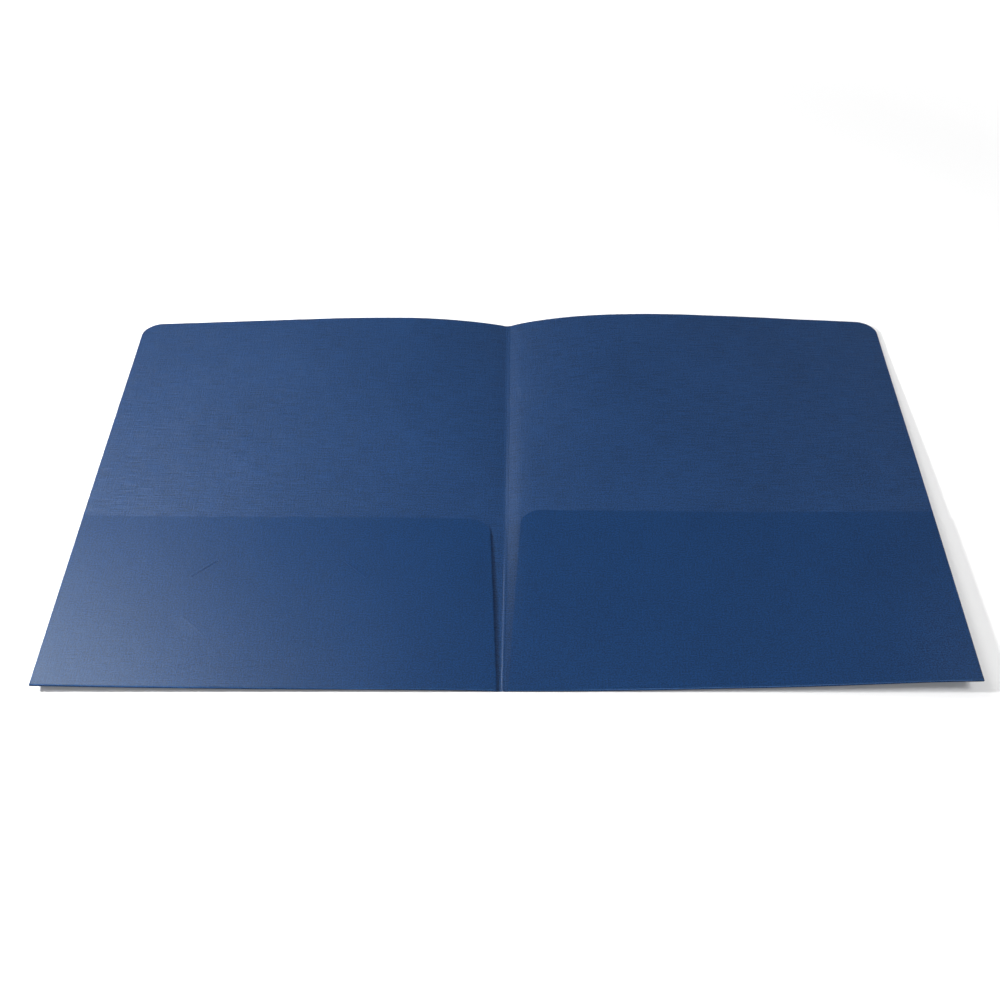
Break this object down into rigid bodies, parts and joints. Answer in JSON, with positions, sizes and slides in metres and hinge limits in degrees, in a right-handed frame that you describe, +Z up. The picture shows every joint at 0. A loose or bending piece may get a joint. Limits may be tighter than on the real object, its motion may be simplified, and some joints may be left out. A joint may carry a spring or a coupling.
{
  "type": "two pocket folder",
  "caption": "Open presentation folder of linen card, scored at the spine, with a glued pocket across the foot of each cover and slits for a business card.",
  "frame": {"origin": "middle of the open folder's footprint, under the spine, on the table it lies on", "axes": "+X across the spine to the back cover, +Y from the pockets to the top edge, +Z up from the table, out of the folder's inside"},
  "size_m": [0.4572, 0.3048, 0.0081],
  "materials": {
    "cover_card": "satin",
    "pocket_card": "satin",
    "glue": "matte"
  },
  "bodies": {
    "back_cover": {"back_cover_panel": "cover_card", "back_pocket_fold": "pocket_card", "back_pocket_panel": "pocket_card", "back_tab_fold": "pocket_card", "back_glue_tab": "pocket_card", "back_glue_film": "glue"},
    "spine": {"spine_strip": "cover_card"},
    "front_cover": {"front_cover_panel": "cover_card", "front_pocket_fold": "pocket_card", "front_pocket_panel": "pocket_card", "front_tab_fold": "pocket_card", "front_glue_tab": "pocket_card", "front_glue_film": "glue"},
    "back_pocket_corner": {"back_pocket_free_corner": "pocket_card"},
    "front_pocket_corner": {"front_pocket_free_corner": "pocket_card"}
  },
  "joints": [
    {"name": "front_cover_fold", "type": "hinge", "parent": "back_cover", "child": "front_cover", "pos_m": [0, 0, 0.00156], "axis": [0, 1, 0], "range_deg": [0, 179.5]},
    {"name": "spine_fold", "type": "hinge", "parent": "back_cover", "child": "spine", "pos_m": [0.0012, 0, 0.00036], "axis": [0, 1, 0], "range_deg": [0, 90]},
    {"name": "back_pocket_bend", "type": "hinge", "parent": "back_cover", "child": "back_pocket_corner", "pos_m": [0.00055, -0.14648, 0.00128], "axis": [0.8796, 0.4757, 0], "range_deg": [-4.08, 0]},
    {"name": "front_pocket_bend", "type": "hinge", "parent": "front_cover", "child": "front_pocket_corner", "pos_m": [0.01825, -0.11172, 0.00128], "axis": [0.8796, -0.4757, 0], "range_deg": [-1.56, 0]}
  ],
  "couplings": [
    {"joint": "spine_fold", "follows": "front_cover_fold", "ratio": 0.5},
    {"joint": "back_pocket_bend", "follows": "front_cover_fold", "ratio": -0.022744},
    {"joint": "front_pocket_bend", "follows": "front_cover_fold", "ratio": -0.0086863}
  ]
}
